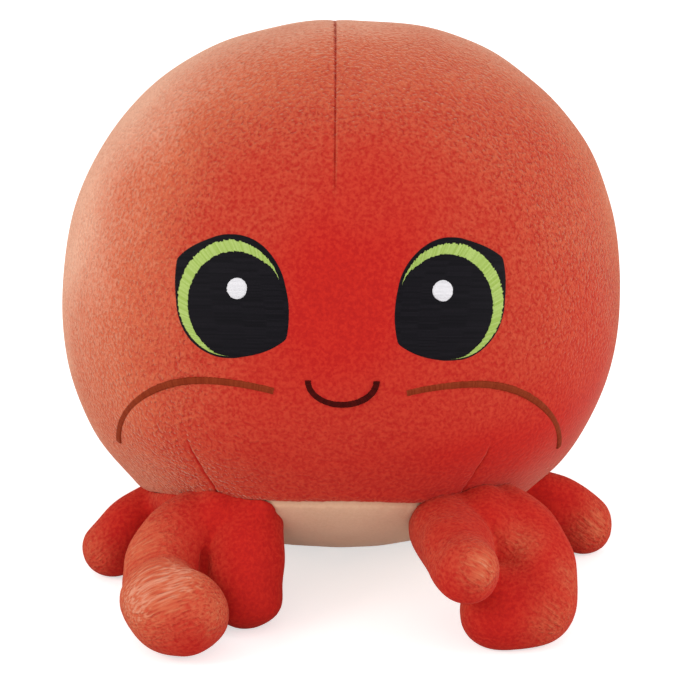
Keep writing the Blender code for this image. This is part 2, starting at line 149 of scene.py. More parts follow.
# The threads: each colour's lighter shade, and how rough its gloss is
THREADS = {"black": ("#1a181d", 0.55), "green": ("#b5cb79", 0.42), "white": ("#e9e8ed", 0.5),
           "dark": ("#500d0a", 0.55), "brown": ("#923c20", 0.5)}

# The sewn root of a limb: how far it laps over the seam, its ends' share of its thickness, its stations
SEWN_OVERLAP = 0.0016
SEWN_END = 0.55
SEWN_STATIONS = 7
# How far a limb sinks into the ball, how far it stays off the floor, and how much of the ball's painted
# light and sheen its cloth gets
LIMB_SINK = 0.0002
FLOOR_GAP = 0.0001
LIMB_PAINTED_LIGHT = 0.13

# The limbs: for each, the bearing of its root on the belly seam in degrees, the bearings that it is sewn
# in between, the half thickness there, and its stuffed fingers. Each station of a finger is how far out,
# forward and above the floor its middle lies, with out and forward counted from the root, and then its
# half thickness.
LIMBS = {
    "left_claw": (40.0, (30.5, 68.0), 0.0090, (
        ((0.0130, -0.0101, 0.0350, 0.0095), (0.0180, -0.0002, 0.0318, 0.0132),
         (0.0236, 0.0098, 0.0276, 0.0145), (0.0270, 0.0203, 0.0218, 0.0149),
         (0.0268, 0.0289, 0.0154, 0.0151)),
        ((0.0020, -0.0080, 0.0362, 0.0108), (0.0072, 0.0020, 0.0348, 0.0126),
         (0.0105, 0.0095, 0.0330, 0.0130), (0.0155, 0.0145, 0.0290, 0.0130)),
        ((0.0262, 0.0298, 0.0142, 0.0154), (0.0147, 0.0330, 0.0139, 0.0154)),
        ((-0.0052, -0.0083, 0.0362, 0.0118), (-0.0046, 0.0056, 0.0330, 0.0134),
         (-0.0018, 0.0265, 0.0335, 0.0130), (0.0016, 0.0490, 0.0355, 0.0116)))),
    "right_claw": (-33.0, (-66.0, -22.3), 0.0090, (
        ((0.0064, -0.0122, 0.0351, 0.0095), (0.0115, -0.0040, 0.0320, 0.0126),
         (0.0190, 0.0040, 0.0278, 0.0136), (0.0228, 0.0125, 0.0222, 0.0138),
         (0.0248, 0.0195, 0.0185, 0.0130)),
        ((-0.0040, -0.0095, 0.0380, 0.0112), (0.0028, -0.0029, 0.0350, 0.0120)),
        ((0.0225, 0.0280, 0.0160, 0.0154), (0.0195, 0.0350, 0.0158, 0.0156),
         (0.0138, 0.0388, 0.0163, 0.0152)),
        ((-0.0084, -0.0070, 0.0374, 0.0122), (-0.0072, -0.0019, 0.0325, 0.0132),
         (-0.0064, 0.0083, 0.0226, 0.0138), (-0.0061, 0.0135, 0.0121, 0.0136)))),
    "left_leg": (87.0, (69.0, 96.5), 0.0080, (
        ((-0.0028, -0.0005, 0.0257, 0.0105), (0.0100, 0.0001, 0.0211, 0.0113),
         (0.0177, -0.0010, 0.0167, 0.0113), (0.0244, -0.0020, 0.0103, 0.0113)),)),
    "right_leg": (-83.0, (-93.5, -65.0), 0.0080, (
        ((-0.0096, 0.0010, 0.0231, 0.0105), (-0.0015, 0.0046, 0.0190, 0.0112),
         (0.0068, 0.0100, 0.0158, 0.0112), (0.0132, 0.0150, 0.0099, 0.0112)),)),
}
# Where a limb is painted paler, partly its nap brushed up into lines and partly painted highlight on tops
# that
# face the light: out, forward, height, reach and how pale it is there
BRUSHED_AND_PAINTED_HIGHLIGHT = {
    "left_claw": ((0.0066, 0.0572, 0.0405, 0.0080, 0.46), (0.0209, 0.0266, 0.0369, 0.0080, 0.22),
                  (0.0330, 0.0420, 0.0120, 0.0110, 0.24), (0.0385, 0.0321, 0.0239, 0.0090, 0.20)),
    "right_claw": ((0.0190, 0.0410, 0.0295, 0.0150, 0.64), (0.0290, 0.0400, 0.0240, 0.0160, 0.62),
                   (0.0310, 0.0170, 0.0310, 0.0150, 0.32), (0.0035, 0.0465, 0.0220, 0.0110, 0.36)),
    "left_leg": ((0.0290, 0.0070, 0.0130, 0.0095, 0.32),),
    "right_leg": ((0.0200, 0.0235, 0.0110, 0.0090, 0.20),),
}
# Which way the nap lines of a limb run, in degrees about the axis from front to back
NAP_TURN = {"left_claw": 35.0, "right_claw": -25.0, "left_leg": 40.0, "right_leg": -40.0}
# A slit between two fingers: its two ends, counted as above, how wide it is, how far it goes in and how
# much of the seams' painted shade it gets
SLITS = {"right_claw": ((0.0082, 0.0130, 0.0275), (0.0084, 0.0155, 0.0215), 0.0014, 0.0018, 0.35)}

# The grain, nap and twist of the cloths and the thread, and the patches in which the nap lies unevenly
PILE_GRAIN = 0.0013
PILE_PATCHES = 0.045
NAP_LINES = (0.0100, 0.0010, 0.0010)
TRICOT_NAP = 0.0011
TRICOT_PATCHES = 0.016
THREAD_TWIST = 0.0007

# The stage. Each lamp: where it is, how high it aims over the middle of the floor, its size and its colour
LAMPS = {
    "key": ((-1.05, -0.60, 0.78), 0.10, 0.60, (1.0, 0.97, 0.93)),
    "fill": ((1.15, -0.30, 0.45), 0.10, 0.80, (1.0, 0.98, 0.96)),
    "front": ((0.0, -1.15, 0.05), 0.04, 0.50, (1.0, 0.98, 0.96)),
}
WHITE = (1.0, 1.0, 1.0, 1.0)
SWEEP_RADII = (0.3, 1.0, 6.0)
SWEEP_COLUMNS = 96
SWEEP_GLOW = 0.6
CAMERA_SIDE = -0.0005
CAMERA_ABOVE = math.radians(20.0)
CAMERA_TILT = math.radians(20.79)


def linear(hex_colour):
    """An sRGB hex colour as linear red, green, blue and alpha."""
    values = [int(hex_colour[i:i + 2], 16) / 255 for i in (1, 3, 5)]
    return (*(v / 12.92 if v <= 0.04045 else ((v + 0.055) / 1.055) ** 2.4 for v in values), 1.0)


def unit(vectors):
    """The vectors at length 1."""
    return vectors / np.linalg.norm(vectors, axis=-1, keepdims=True)


def smoothstep(low, high, values):
    """0 below low, 1 above high, and three times the square less twice the cube between them."""
    share = np.clip((values - low) / (high - low), 0, 1)
    return share ** 2 * (3 - 2 * share)


def bell(away, width):
    """1 at the middle and less away from it: a Gaussian."""
    return np.exp(-(away / width) ** 2)


def run(path):
    """How far along the path each of its points is."""
    return np.concatenate([[0], np.cumsum(np.linalg.norm(np.diff(path, axis=0), axis=1))])


def sampled(values, along, places):
    """The values, which are known at the lengths along a path, at other places of it."""
    return np.stack([np.interp(places, along, axis) for axis in values.T], axis=-1)


def evenly(path, step):
    """The path's points again, about one step apart along it."""
    along = run(path)
    return sampled(path, along, np.linspace(0, along[-1], max(2, round(along[-1] / step) + 1)))


def ball_height(z):
    """How far the ball reaches on the side of its widest level that z is on."""
    return np.where(z > 0, BALL_RISE, BALL_DROP)


def ball_measure(points):
    """1 on the ball: the level share and the height share to the power of the ball's fullness, added,
    and brought back by the same root."""
    x, y, z = np.moveaxis(points, -1, 0)
    level = np.hypot(x / BALL_HALF_WIDTH, y / BALL_HALF_DEPTH)
    height = np.abs(z / ball_height(z))
    return (level ** BALL_FULLNESS + height ** BALL_FULLNESS) ** (1 / BALL_FULLNESS)


def ball_normal(points):
    """The ball's outward direction: the gradient of its measure."""
    x, y, z = np.moveaxis(points, -1, 0)
    reach = ball_height(z)
    level = np.maximum(np.hypot(x / BALL_HALF_WIDTH, y / BALL_HALF_DEPTH), 1e-9)
    share = level ** (BALL_FULLNESS - 2)
    steep = np.sign(z) * np.abs(z / reach) ** (BALL_FULLNESS - 1) / reach
    across, forth = share * x / BALL_HALF_WIDTH ** 2, share * y / BALL_HALF_DEPTH ** 2
    return unit(np.stack([across, forth, steep], axis=-1))


def face_place(shares):
    """Where shares of the ball's half width and of its reach up or down lie, in metres."""
    across, up = np.asarray(shares, dtype=float)
    return across * BALL_HALF_WIDTH, up * ball_height(up)


def cheek_puff(points):
    """A soft bump below each cheek line, a Gaussian across and up."""
    x, y, z = np.moveaxis(points, -1, 0)
    centre_x, centre_z = face_place(PUFF_CENTRE)
    across = (np.abs(x) - centre_x) / PUFF_REACH[0]
    up = (z - centre_z) / PUFF_REACH[1]
    return np.where(y < 0, PUFF_HEIGHT * np.exp(-across ** 2 - up ** 2), 0.0)


def on_ball(directions, lift=0.0):
    """Where rays from the ball's middle meet the skin, raised along its normal, then slid sideways in
    proportion to their height by the slump."""
    directions = np.asarray(directions, dtype=float)
    points = directions / ball_measure(directions)[..., None]
    raised = cheek_puff(points) + lift
    points = points + ball_normal(points) * raised[..., None]
    points[..., 0] += SIDE_SLUMP * points[..., 2]
    return points


def on_face(x, z, lift=0.0):
    """The points of the skin in front of the places x, z of the face."""
    x, z = np.broadcast_arrays(np.asarray(x, dtype=float), np.asarray(z, dtype=float))
    x = x - SIDE_SLUMP * z
    spread = (1 - np.abs(z / ball_height(z)) ** BALL_FULLNESS) ** (1 / BALL_FULLNESS)
    y = -BALL_HALF_DEPTH * np.sqrt(spread ** 2 - (x / BALL_HALF_WIDTH) ** 2)
    return on_ball(np.stack([x, y, z], axis=-1), lift)


def level_points(latitude, bearing):
    """The ball's points at a latitude and a bearing from the front: its superellipse's point at that
    latitude, carried round the upright axis."""
    spread = np.abs(np.cos(latitude)) ** (2 / BALL_FULLNESS)
    rise = np.sign(latitude) * np.abs(np.sin(latitude)) ** (2 / BALL_FULLNESS)
    x = BALL_HALF_WIDTH * spread * np.sin(bearing)
    y = -BALL_HALF_DEPTH * spread * np.cos(bearing)
    return np.stack(np.broadcast_arrays(x, y, rise * ball_height(rise)), axis=-1)


def sitting_height():
    """The ball's middle above the floor: its reach straight down when it leans, less the squash."""
    power = BALL_FULLNESS / (BALL_FULLNESS - 1)
    back = (BALL_HALF_DEPTH * math.sin(LEAN)) ** power
    down = (BALL_DROP * math.cos(LEAN)) ** power
    return (back + down) ** (1 / power) - SQUASH


LEAN_MATRIX = (Matrix.Translation((0, 0, sitting_height())) @ Matrix.Rotation(-LEAN, 4, "X")
               @ Matrix.Rotation(ROLL, 4, "Y"))
LEAN_TURN = np.array(LEAN_MATRIX.to_3x3())


def to_floor(points):
    """Points of the ball's frame in the frame of the floor."""
    return points @ LEAN_TURN.T + (0, 0, sitting_height())


def to_ball(points):
    """Points of the floor's frame in the ball's frame."""
    return (points - (0, 0, sitting_height())) @ LEAN_TURN


def pressed(points, floor=0.0):
    """Points of the ball's frame, with those below that height over the floor pushed up to it."""
    heights = to_floor(points)[..., 2]
    return points + np.maximum(floor - heights, 0)[..., None] * LEAN_TURN[2]


def lumps(points, seed, sizes, height):
    """The unevenness of stuffing: a dozen plane waves of random direction and of lengths between the
    two sizes, added."""
    random = np.random.default_rng(seed)
    waves = unit(random.normal(size=(12, 3))) * (2 * math.pi / random.uniform(*sizes, size=(12, 1)))
    starts = random.uniform(0, 2 * math.pi, 12)
    return height * np.sin(points @ waves.T + starts).sum(axis=-1) / math.sqrt(12)


def distance_along(points, path):
    """For each point, how far the path is from it, and how far along the path that place is."""
    flat = points.reshape(-1, 3)
    near, along = np.full(len(flat), np.inf), np.zeros(len(flat))
    for start, step, passed in zip(path, np.diff(path, axis=0), run(path)):
        length = np.linalg.norm(step)
        share = np.clip((flat - start) @ step / length ** 2, 0, 1)
        away = np.linalg.norm(flat - start - share[:, None] * step, axis=1)
        closer = away < near
        near[closer] = away[closer]
        along[closer] = passed + share[closer] * length
    return near.reshape(points.shape[:-1]), along.reshape(points.shape[:-1])


def link_object(name, data):
    """A new object of the scene."""
    added = bpy.data.objects.new(name, data)
    bpy.context.scene.collection.objects.link(added)
    return added


def mesh_piece(name, points, faces, material):
    """A piece from an array of points and a list of faces, turned to face outwards: where the volume
    that its faces close off comes out negative, every face is turned round."""
    mesh = bpy.data.meshes.new(name)
    mesh.from_pydata(points.reshape(-1, 3), [], faces)
    mesh.update()
    mesh.calc_loop_triangles()
    corners = np.empty(len(mesh.loop_triangles) * 3, dtype=np.int32)
    mesh.loop_triangles.foreach_get("vertices", corners)
    a, b, c = np.moveaxis(points.reshape(-1, 3)[corners.reshape(-1, 3)], 1, 0)
    if np.einsum("ij,ij->", a, np.cross(b, c)) < 0:
        mesh.flip_normals()
    mesh.materials.append(material)
    mesh.shade_smooth()
    return link_object(name, mesh)


def ring_faces(rows, columns, offset=0):
    """The quads between rings of points, each ring closed, as a list of corner numbers."""
    i, j = np.meshgrid(np.arange(rows - 1), np.arange(columns), indexing="ij")
    k = (j + 1) % columns
    here, there = i * columns + offset, (i + 1) * columns + offset
    return np.stack([here + j, here + k, there + k, there + j], axis=-1).reshape(-1, 4).tolist()


def fan_faces(ring_start, columns, tip):
    """The triangles from one ring to its tip."""
    j = np.arange(columns)
    corners = [ring_start + j, ring_start + (j + 1) % columns, np.full(columns, tip)]
    return np.stack(corners, axis=-1).tolist()


def shell(rings, first, last, offset=0):
    """The points and faces of a closed surface through rings, which runs to a tip at each end."""
    rows, columns = rings.shape[:2]
    points = np.concatenate([rings.reshape(-1, 3), [first, last]])
    faces = ring_faces(rows, columns, offset)
    faces += fan_faces(offset, columns, offset + rows * columns)
    faces += fan_faces(offset + (rows - 1) * columns, columns, offset + rows * columns + 1)
    return points, faces


def bake_modifiers(piece):
    """Make the piece's modifiers part of its mesh."""
    bpy.context.view_layer.update()
    evaluated = piece.evaluated_get(bpy.context.evaluated_depsgraph_get())
    mesh = bpy.data.meshes.new_from_object(evaluated)
    piece.modifiers.clear()
    piece.data = mesh
    mesh.shade_smooth()


def mesh_vectors(piece, kind="co"):
    """The places of the piece's points, or their normals, as an array."""
    vectors = np.empty(len(piece.data.vertices) * 3)
    piece.data.vertices.foreach_get(kind, vectors)
    return vectors.reshape(-1, 3)


def set_points(piece, points):
    """Put an array of points back into the piece."""
    piece.data.vertices.foreach_set("co", points.ravel())
    piece.data.update()


def shade_attribute(piece, name, values):
    """A number for each point of the piece, for its material to read."""
    attribute = piece.data.attributes.new(name, "FLOAT", "POINT")
    attribute.data.foreach_set("value", np.asarray(values, dtype=np.float32).ravel())


def feed(receiver, inputs):
    """Give a node its inputs, in the order of its sockets or by their names or numbers. Each is a value,
    an output that feeds it, or a node whose first output does."""
    for key, value in inputs.items() if isinstance(inputs, dict) else enumerate(inputs):
        if isinstance(value, bpy.types.Node):
            value = value.outputs[0]
        if isinstance(value, bpy.types.NodeSocket):
            receiver.id_data.links.new(value, receiver.inputs[key])
        else:
            receiver.inputs[key].default_value = value


def node(tree, kind, inputs=(), **settings):
    """Add a node with its inputs and its own settings."""
    added = tree.nodes.new("ShaderNode" + kind)
    for key, value in settings.items():
        setattr(added, key, value)
    feed(added, inputs)
    return added


def new_material(name):
    """An empty material, its tree and its Principled shader."""
    material = bpy.data.materials.new(name)
    material.use_nodes = True
    return material, material.node_tree, material.node_tree.nodes["Principled BSDF"]


def pile_material(name, cloth, painted_light, streak_turn=0.0):
    """Short-pile polyester plush (minky), knitted and sheared to 1.5 mm.

    Its colour runs from deep red roots through coral to orange and pale peach. How far it runs is painted
    light and painted sheen, fixed in the toy's own directions: paler on the top and on the crab's right,
    where the key lamp falls, and paler as the cloth turns away from the front, as painted sheen: the 0.7th
    power of how far the cloth faces away from the front, times how much it faces up and to the crab's right,
    and more at the sides by the 4th power. At the back it is painted less pale again. Tufts break it up into
    a grain of
    1.3 mm. Brushed spots add nap lines of 1.0 mm and a paleness that is partly the nap brushed up and partly
    painted highlight on tops that face the light. The glow at the rim is the shader's sheen together with
    the painted sheen."""
    material, tree, shader = new_material(name)
    place = node(tree, "TexCoord").outputs["Object"]
    grain = node(tree, "TexNoise",
                 {"Vector": place, "Scale": 1 / PILE_GRAIN, "Detail": 1.5, "Distortion": 0.3})
    patches = node(tree, "TexNoise", {"Vector": place, "Scale": 1 / PILE_PATCHES})
    turned = node(tree, "Mapping", {"Vector": place, "Rotation": (0.0, streak_turn, 0.0),
                                    "Scale": NAP_LINES}, vector_type="TEXTURE")
    streaks = node(tree, "TexNoise", {"Vector": turned, "Scale": 1.0, "Detail": 1.0})
    brushed_and_painted_highlight = node(tree, "Attribute", attribute_name="brushed_up").outputs["Fac"]
    seam = node(tree, "Attribute", attribute_name="seam").outputs["Fac"]
    combed = node(tree, "MapRange", [brushed_and_painted_highlight, 0.05, 0.40])
    pattern = node(tree, "Mix", {0: combed, 2: grain, 3: streaks})

    # Painted light and painted sheen by the way that the cloth faces: paler on top, to the crab's right and
    # at the rim
    normal = node(tree, "NewGeometry").outputs["Normal"]
    facing = node(tree, "SeparateXYZ", [normal]).outputs
    upward = node(tree, "MapRange", [facing["Z"], -0.30, 0.35, 0.19, 0.86])
    painted_lit_side = node(tree, "Math", [facing["X"], -0.40, upward], operation="MULTIPLY_ADD")
    frontal = node(tree, "VectorMath", [normal, TOY_FRONT], operation="DOT_PRODUCT").outputs["Value"]
    before = node(tree, "Math", [1.0, frontal], operation="SUBTRACT")
    behind = node(tree, "Math", [frontal, 0.6, 1.0], operation="MULTIPLY_ADD")
    aside = node(tree, "Math", [before, behind], operation="MINIMUM", use_clamp=True)
    turned_away = node(tree, "Math", [aside, 0.70], operation="POWER")
    sides = node(tree, "Math", [aside, 4.0], operation="POWER")
    wide = node(tree, "Math", [turned_away, painted_lit_side], operation="MULTIPLY")
    both = node(tree, "Math", [sides, 0.40, wide], operation="MULTIPLY_ADD")

    # The same painted light with patches, brushed spots and tufts, and none of it down in a seam
    uneven = node(tree, "MapRange", [patches, 0.3, 0.7, painted_light * 0.8, painted_light * 1.2])
    all_over = node(tree, "Math", [both, uneven], operation="MULTIPLY")
    lines = node(tree, "MapRange", [streaks, 0.32, 0.68, 0.82, 1.14])
    with_spots = node(tree, "Math", [brushed_and_painted_highlight, lines, all_over], operation="MULTIPLY_ADD")
    broken = node(tree, "MapRange", [pattern, 0.30, 0.70, -0.15, 0.15])
    raised = node(tree, "MapRange", [with_spots, 0.05, 0.25, 0.15, 1.0])
    tufted = node(tree, "Math", [broken, raised, with_spots], operation="MULTIPLY_ADD")
    open_cloth = node(tree, "Math", [1.0, seam], operation="SUBTRACT")
    tips_and_painted_light = node(tree, "Math", [tufted, open_cloth], operation="MULTIPLY")

    # From red roots to coral by the grain, to orange and pale peach by the painted light and the brushed
    # spots, and to the painted shade down a seam
    colour = cloth.roots
    for share, shade in ((node(tree, "MapRange", [grain, 0.36, 0.64]), cloth.middle),
                         (node(tree, "MapRange", [tips_and_painted_light, 0.025, 0.5]), cloth.tips_and_painted_light),
                         (node(tree, "MapRange", [tips_and_painted_light, 0.5, 1.15]), cloth.painted_light), (seam, cloth.seam_painted_shade)):
        colour = node(tree, "Mix", {0: share, 6: colour, 7: shade}, data_type="RGBA").outputs[2]
    height = node(tree, "Math", [pattern, raised], operation="MULTIPLY")
    bump = node(tree, "Bump", {"Strength": 1.0, "Distance": 0.0014, "Height": height})
    feed(shader, {"Base Color": colour, "Normal": bump, "Roughness": 1.0, "Specular IOR Level": 0.0,
                  "Sheen Weight": 0.04 + 0.40 * painted_light, "Sheen Roughness": 0.35,
                  "Sheen Tint": linear("#ffe0c8")})
    return material


def belly_material(cloth):
    """Brushed polyester tricot, thinner and smoother than the red pile, so that the eye sees a soft even
    cream. Its fine nap is drawn at 1.1 mm, as coarse as it needs to show."""
    material, tree, shader = new_material("cream_brushed_tricot")
    place = node(tree, "TexCoord").outputs["Object"]
    nap = node(tree, "TexNoise", {"Vector": place, "Scale": 1 / TRICOT_NAP})
    patches = node(tree, "TexNoise", {"Vector": place, "Scale": 1 / TRICOT_PATCHES})
    colour = cloth.cream_shade
    for share in (nap, patches):
        colour = node(tree, "Mix", {0: share, 6: colour, 7: cloth.cream}, data_type="RGBA").outputs[2]
    bump = node(tree, "Bump", {"Strength": 0.5, "Distance": 0.0004, "Height": nap})
    feed(shader, {"Base Color": colour, "Normal": bump, "Roughness": 0.9, "Specular IOR Level": 0.1,
                  "Sheen Weight": 0.2, "Sheen Roughness": 0.5})
    return material


def thread_material(thread, colour):
    """Trilobal polyester embroidery thread, 40 weight: each stitch a slightly different shade, with a
    silky gloss along it. Its fine twist is drawn at 0.7 mm, as coarse as it needs to show."""
    dark, (light, roughness) = getattr(thread, colour), THREADS[colour]
    material, tree, shader = new_material(colour + "_embroidery_thread")
    place = node(tree, "TexCoord").outputs["Object"]
    stitch = node(tree, "Attribute", attribute_name="stitch_shade").outputs["Fac"]
    twist = node(tree, "TexNoise", {"Vector": place, "Scale": 1 / THREAD_TWIST, "Detail": 1.0})
    stitched = node(tree, "Mix", {0: stitch, 6: dark, 7: linear(light)}, data_type="RGBA").outputs[2]
    shadow = node(tree, "MapRange", [twist, 0.3, 0.7, 0.0, 0.35])
    shaded = node(tree, "Mix", {0: shadow, 6: stitched, 7: dark}, data_type="RGBA").outputs[2]
    bump = node(tree, "Bump", {"Strength": 0.3, "Distance": 0.0001, "Height": twist})
    feed(shader, {"Base Color": shaded, "Normal": bump, "Roughness": roughness,
                  "Specular IOR Level": 0.04})
    return material


def colour_property(name, description, hex_colour):
    """A colour that the panel shows, held as linear values."""
    return bpy.props.FloatVectorProperty(name=name, description=description, subtype="COLOR", size=4,
                                         min=0.0, max=1.0, default=linear(hex_colour))


def length_property(name, description, metres):
    """A length that the panel shows."""
    return bpy.props.FloatProperty(name=name, description=description, subtype="DISTANCE", unit="LENGTH",
                                   default=metres, min=0.0, precision=5)


def number_property(name, description, default):
    """A number of 0 or more that the panel shows."""
    return bpy.props.FloatProperty(name=name, description=description, default=default, min=0.0)


class PlushClothSettings(bpy.types.PropertyGroup):
    """The cloth's colours, those of its painted light and painted shade among them, and how deep its seams
    are drawn in.
    """
    roots: colour_property("Pile Roots", "The deep red seen down into the pile", "#b52320")
    middle: colour_property("Pile Middle", "The coral red of the pile's sides", "#c32a22")
    # The orange coral of the pile's tips, mixed in where the painted light is middling
    tips_and_painted_light: colour_property("Pile Tips", "The orange coral half way up the pile", "#d0694a")
    # The pale peach of the painted light and painted sheen where they are strongest, and on brushed spots
    painted_light: colour_property("Pile Painted Light", "The pale peach of the pile's tips", "#eeb094")
    # Painted shade: the dark red put down the crease of each seam and into the slit between two fingers
    seam_painted_shade: colour_property("Seam Shade", "The dark red down in a seam", "#a3221a")
    cream: colour_property("Belly Cream", "The cream of the belly panel", "#e8c1a2")
    cream_shade: colour_property("Belly Shade", "The deeper cream between its nap", "#d0a07e")
    seam_depth: length_property("Seam Depth", "How deep a seam draws the cloth in", 0.0012)
    lump_height: length_property("Stuffing Lumps", "How uneven the stuffing leaves the cloth", 0.0003)


class EmbroiderySettings(bpy.types.PropertyGroup):
    """The threads' colours and the stitches' sizes."""
    black: colour_property("Black Thread", "The ground of each eye", "#111014")
    green: colour_property("Green Thread", "The crescent of each eye", "#9ab556")
    white: colour_property("White Thread", "The dot in each eye", "#d9d8dd")
    brown: colour_property("Brown Thread", "The line over each cheek", "#7f2c15")
    dark: colour_property("Dark Thread", "The smile", "#3a0806")
    pitch: length_property("Stitch Pitch", "From one satin stitch to the next", 0.0005)
    smile_width: length_property("Smile Width", "The length of the smile's stitches", 0.0024)
    cheek_width: length_property("Cheek Line Width", "The length of the cheek line's stitches", 0.0026)


class StuffedLimbSettings(bpy.types.PropertyGroup):
    """How the claws and legs are finished."""
    voxel: length_property("Voxel", "The size of the faces that a limb is remeshed to", 0.0013)
    softness: bpy.props.IntProperty(name="Softness", description="How often the joins are smoothed",
                                    default=6, min=0, max=40)
    lump_height: length_property("Limb Lumps", "How uneven the stuffing leaves a limb", 0.0004)


class StudioSettings(bpy.types.PropertyGroup):
    """The camera and the lamps."""
    camera_distance: length_property("Camera Distance", "From the ball's middle to the camera", 1.2)
    camera_focal: number_property("Focal Length", "Of the camera's lens, in mm", 168.96)
    key_power: number_property("Key Lamp", "The lamp at the upper left, in watts", 5.8)
    fill_power: number_property("Fill Lamp", "The lamp at the right, in watts", 5.3)
    front_power: number_property("Front Lamp", "The low lamp in front, in watts", 1.5)
    ambient: number_property("Ambient", "The strength of the light all round", 0.80)


def seam_paths():
    """The ball's seams as lines of points on it: the crown seam over the top from side to side, the
    seam down the back, the dart on the forehead and a dart under each cheek."""
    back = CROWN_SEAM_BACK / BALL_RISE
    swing = np.linspace(-1.0, 1.0, 81) * (math.pi / 2 - SEAM_LATITUDE)
    crown = on_ball(np.stack([np.sin(swing), np.full_like(swing, back), np.cos(swing)], axis=-1))
    drop = np.linspace(back, math.pi / 2 - SEAM_LATITUDE, 41)
    shift = np.linspace(FOREHEAD_DART_X[0], 0.0, 41) / BALL_RISE
    rear = on_ball(np.stack([shift, np.sin(drop), np.cos(drop)], axis=-1))
    drop = np.linspace(-back, math.acos(FOREHEAD_DART_END_RISE / BALL_RISE), 31)
    shift = np.linspace(*FOREHEAD_DART_X, 31) / BALL_RISE
    forehead = on_ball(np.stack([shift, -np.sin(drop), np.cos(drop)], axis=-1))
    levels = np.linspace(CHEEK_DART_TOP, -SEAM_SHARE, 21)
    knots = np.linspace(CHEEK_DART_TOP, -SEAM_SHARE, len(CHEEK_DART_ACROSS))
    across = np.interp(-levels, -knots, CHEEK_DART_ACROSS)
    x, z = face_place((across, levels))
    return {"crown": crown, "rear": rear, "forehead": forehead,
            "left_cheek": on_face(x, z), "right_cheek": on_face(-x, z)}


def bearings():
    """The bearings of the skin's columns, closer together along the seams: the inverse of the running
    total of a density that has a peak at each seam."""
    places = np.radians(np.linspace(-180, 180, 7201))
    density = np.full_like(places, 0.8)
    for centre, half_width, height in COLUMN_PEAKS:
        density += height * np.exp(-((np.degrees(places) - centre) / half_width) ** 4)
    total = np.concatenate([[0], np.cumsum((density[1:] + density[:-1]) / 2)])
    return np.interp(np.linspace(0, total[-1], BALL_COLUMNS + 1)[:-1], total, places)


def seam_wobble(bearing, away):
    """How unevenly the belly seam runs, as a change of latitude: a few waves round the ball, which fade
    out away from the seam."""
    waves = ((31, 0.4, 0.0008), (53, 2.1, 0.0010), (97, 4.4, 0.0009), (161, 1.3, 0.0007))
    total = sum(height * np.sin(count * bearing + start) for count, start, height in waves)
    return total * smoothstep(WOBBLE_FADE, 0, away)


def seam_relief(skin, depth):
    """How far the ball's seams raise the skin, and how much of a seam's line each of its points lies in, for
    the painted shade down the seam. Across a seam its line, valley and puckers each fade as a Gaussian.
    Along it the line swells by a quarter at each stitch, as a cosine, and the puckers are a sine."""
    lift, seams = np.zeros(skin.shape[:2]), np.zeros(skin.shape[:2])
    wide, long, high = SEAM_PUCKERS
    for name, path in seam_paths().items():
        near, along = distance_along(skin, path)
        strength = 1.0
        if name == "forehead":
            strength = smoothstep(-1e-6, DART_FADE, run(path)[-1] - along)
        elif "cheek" in name:
            strength = smoothstep(-1e-6, DART_FADE, along)
        stitches = 1 + 0.25 * np.cos(2 * math.pi * along / SEAM_STITCH)
        line = strength * stitches * bell(near, SEAM_LINE_WIDTH)
        valley = strength * bell(near, SEAM_VALLEY_WIDTH)
        puckers = strength * bell(near, wide) * np.sin(2 * math.pi * along / long)
        lift += high * puckers - depth * (0.45 * line + 0.22 * valley)
        # The painted shade of the seam's line, less on the cheek darts
        seams = np.maximum(seams, (0.5 if "cheek" in name else 0.65) * np.minimum(line, 1))
    return lift, seams


def spread(*spans):
    """Angles in radians, evenly spread over each span of a first and last angle in degrees and a count."""
    return np.radians(np.concatenate([np.linspace(*span) for span in spans]))


def inner_wall(first, last, count, bearing, depth):
    """Rings at a depth inside the ball, from a latitude in radians down to one in degrees, and the tip
    that they lead to."""
    latitude = np.linspace(first, math.radians(last), count)[:, None]
    inside = on_ball(level_points(latitude, bearing), -depth)
    return pressed(inside, depth), pressed(on_ball([0.0, 0.0, -1.0], -depth), depth)


def fix(piece, stands_for):
    """Fix a piece to the toy in place of its solid."""
    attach(piece, "root")
    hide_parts(stands_for)


class MESH_OT_plush_ball(bpy.types.Operator):
    """The stuffed ball of red pile, drawn in along its seams"""
    bl_idname = "mesh.plush_ball"
    bl_label = "Plush Ball"
    bl_options = {"REGISTER", "UNDO"}

    def execute(self, context):
        cloth = context.scene.plush_cloth
        bearing = bearings()[None, :]
        latitude = np.concatenate([spread(*BALL_RINGS), SEAM_LATITUDE + spread(*LIP_RINGS)])[:, None]
        above_seam = latitude - SEAM_LATITUDE
        directions = level_points(latitude + seam_wobble(bearing, above_seam), bearing)
        skin = on_ball(directions)
        # The lip rolls in to the seam, and the stuffing swells just above it
        away = above_seam * BALL_DROP
        place, width, height = LIP_SWELL
        lift = height * bell(away - place, width) - cloth.seam_depth * bell(away, BALL_ROLL)
        relief, seams = seam_relief(skin, cloth.seam_depth)
        lift = lift + lumps(skin, 3, BALL_LUMPS, cloth.lump_height) + relief
        depth = BELLY_THICKNESS + FIT_GAP
        lower, bottom = inner_wall(SEAM_LATITUDE, -86, 16, bearing, depth)
        top = on_ball([0.0, 0.0, 1.0], lift[0].mean())
        points, faces = shell(np.concatenate([on_ball(directions, lift), lower]), top, bottom)
        material = pile_material("coral_minky_ball", cloth, 1.0)
        piece = mesh_piece("ball_skin", to_floor(points), faces, material)
        # How much painted shade each point gets down a seam
        shade_attribute(piece, "seam", np.pad(seams.ravel(), (0, len(points) - seams.size)))
        fix(piece, "body")
        return {"FINISHED"}


